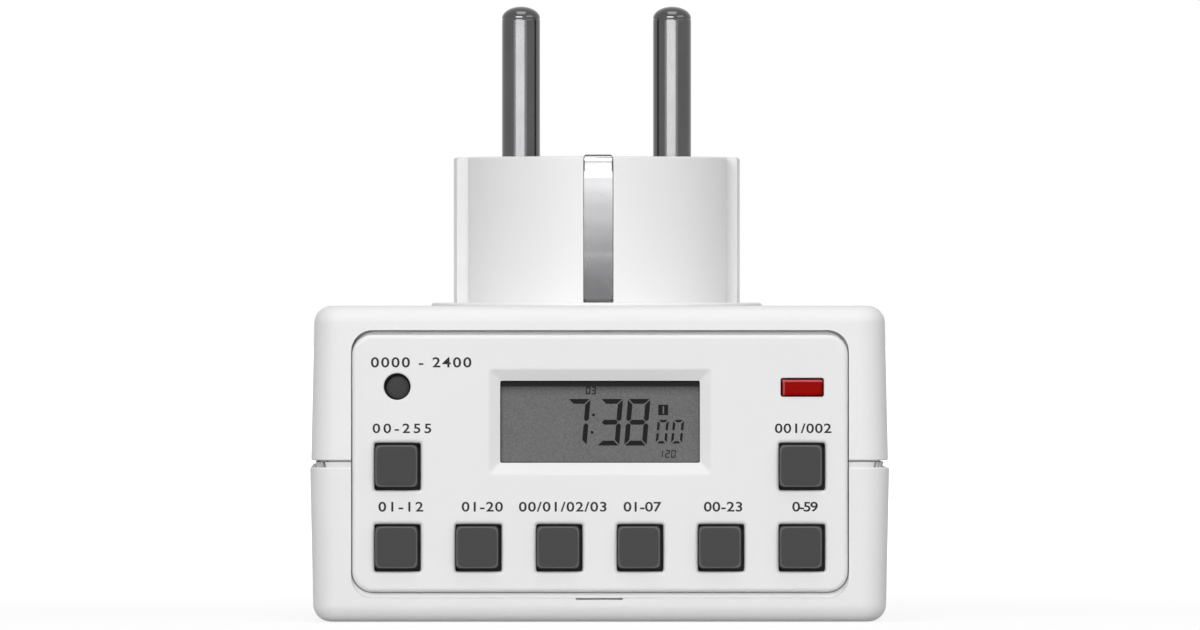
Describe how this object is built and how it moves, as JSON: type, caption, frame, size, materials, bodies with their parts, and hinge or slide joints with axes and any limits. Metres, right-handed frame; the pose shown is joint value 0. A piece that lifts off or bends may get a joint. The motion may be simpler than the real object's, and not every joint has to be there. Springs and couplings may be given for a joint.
{
  "type": "digital timer switch",
  "caption": "Plug-in digital timer switch: mains plug on top, mains socket underneath, display and square keys on the front.",
  "frame": {"origin": "middle of the footprint, at the level of the rim round the socket", "axes": "+Z along the plug pins, +X to the panel's right, -Y out of the control panel"},
  "size_m": [0.0718, 0.0589, 0.0768],
  "materials": {
    "white_plastic": "fine satin moulding",
    "grey_keys": "matt, eased edges",
    "grey_rubber": "matt",
    "black_plastic": "satin",
    "beige_plastic": "satin",
    "nickel": "polished nickel plate",
    "zinc_steel": "zinc plated",
    "brass": "stamped",
    "display_glass": "grey polariser film",
    "red_lens": "diffusing red resin",
    "board": "green solder mask",
    "relay_case": "moulded",
    "capacitor_case": "moulded",
    "can_sleeve": "shrunk sleeve",
    "varistor_coat": "dipped epoxy",
    "red_insulation": "wire insulation",
    "blue_insulation": "wire insulation",
    "grey_sheath": "flat cable",
    "cell_sleeve": "shrunk sleeve"
  },
  "bodies": {
    "housing": {"upper_housing": "white_plastic", "lower_housing": "white_plastic", "control_panel": "white_plastic", "plug_body": "white_plastic", "housing_screw_front_left": "zinc_steel", "housing_screw_front_right": "zinc_steel", "housing_screw_rear_left": "zinc_steel", "housing_screw_rear_right": "zinc_steel", "plug_pin_left": "nickel", "plug_pin_right": "nickel", "plug_earth_strip": "nickel", "plug_screw_left": "zinc_steel", "plug_screw_right": "zinc_steel", "contact_base": "beige_plastic", "shutter_spring": "zinc_steel", "socket_contact_left": "brass", "socket_contact_right": "brass", "socket_earth_clip": "nickel", "earth_link": "brass", "neutral_bar": "brass", "live_bar": "brass", "neutral_lead": "blue_insulation", "live_lead": "red_insulation", "keypad_mat": "grey_rubber", "indicator_lamp": "red_lens", "control_board": "board", "display_front_glass": "display_glass", "display_rear_glass": "display_glass", "display_frame": "black_plastic", "zebra_strip_upper": "grey_rubber", "zebra_strip_lower": "grey_rubber", "chip_cover": "black_plastic", "clock_crystal": "zinc_steel", "ribbon_cable": "grey_sheath", "backup_battery": "cell_sleeve", "battery_lead": "red_insulation", "board_screw_1": "zinc_steel", "board_screw_2": "zinc_steel", "board_screw_3": "zinc_steel", "board_screw_4": "zinc_steel", "power_board": "board", "relay": "relay_case", "film_capacitor": "capacitor_case", "rectifier": "black_plastic", "smoothing_capacitor": "can_sleeve", "varistor": "varistor_coat", "resistor": "beige_plastic"},
    "key_clock": {"key_clock": "grey_keys"},
    "key_timer": {"key_timer": "grey_keys"},
    "key_mode": {"key_mode": "grey_keys"},
    "key_week": {"key_week": "grey_keys"},
    "key_hour": {"key_hour": "grey_keys"},
    "key_minute": {"key_minute": "grey_keys"},
    "key_random": {"key_random": "grey_keys"},
    "key_recall": {"key_recall": "grey_keys"},
    "key_reset": {"key_reset": "grey_keys"},
    "shutter": {"shutter": "beige_plastic"}
  },
  "joints": [
    {"name": "key_clock_press", "type": "slide", "parent": "housing", "child": "key_clock", "axis": [0, 1, 0], "range_m": [0, 0.0007], "stiffness_N_per_m": 400, "springref_m": -0.0005},
    {"name": "key_timer_press", "type": "slide", "parent": "housing", "child": "key_timer", "axis": [0, 1, 0], "range_m": [0, 0.0007], "stiffness_N_per_m": 400, "springref_m": -0.0005},
    {"name": "key_mode_press", "type": "slide", "parent": "housing", "child": "key_mode", "axis": [0, 1, 0], "range_m": [0, 0.0007], "stiffness_N_per_m": 400, "springref_m": -0.0005},
    {"name": "key_week_press", "type": "slide", "parent": "housing", "child": "key_week", "axis": [0, 1, 0], "range_m": [0, 0.0007], "stiffness_N_per_m": 400, "springref_m": -0.0005},
    {"name": "key_hour_press", "type": "slide", "parent": "housing", "child": "key_hour", "axis": [0, 1, 0], "range_m": [0, 0.0007], "stiffness_N_per_m": 400, "springref_m": -0.0005},
    {"name": "key_minute_press", "type": "slide", "parent": "housing", "child": "key_minute", "axis": [0, 1, 0], "range_m": [0, 0.0007], "stiffness_N_per_m": 400, "springref_m": -0.0005},
    {"name": "key_random_press", "type": "slide", "parent": "housing", "child": "key_random", "axis": [0, 1, 0], "range_m": [0, 0.0007], "stiffness_N_per_m": 400, "springref_m": -0.0005},
    {"name": "key_recall_press", "type": "slide", "parent": "housing", "child": "key_recall", "axis": [0, 1, 0], "range_m": [0, 0.0007], "stiffness_N_per_m": 400, "springref_m": -0.0005},
    {"name": "key_reset_press", "type": "slide", "parent": "housing", "child": "key_reset", "axis": [0, 1, 0], "range_m": [0, 0.0005], "stiffness_N_per_m": 400, "springref_m": -0.0005},
    {"name": "shutter_turn", "type": "hinge", "parent": "housing", "child": "shutter", "pos_m": [0, 0.00625, 0.0205], "axis": [0, 0, 1], "range_deg": [0, 38], "stiffness_Nm_per_rad": 0.002, "springref_deg": -17.19}
  ]
}
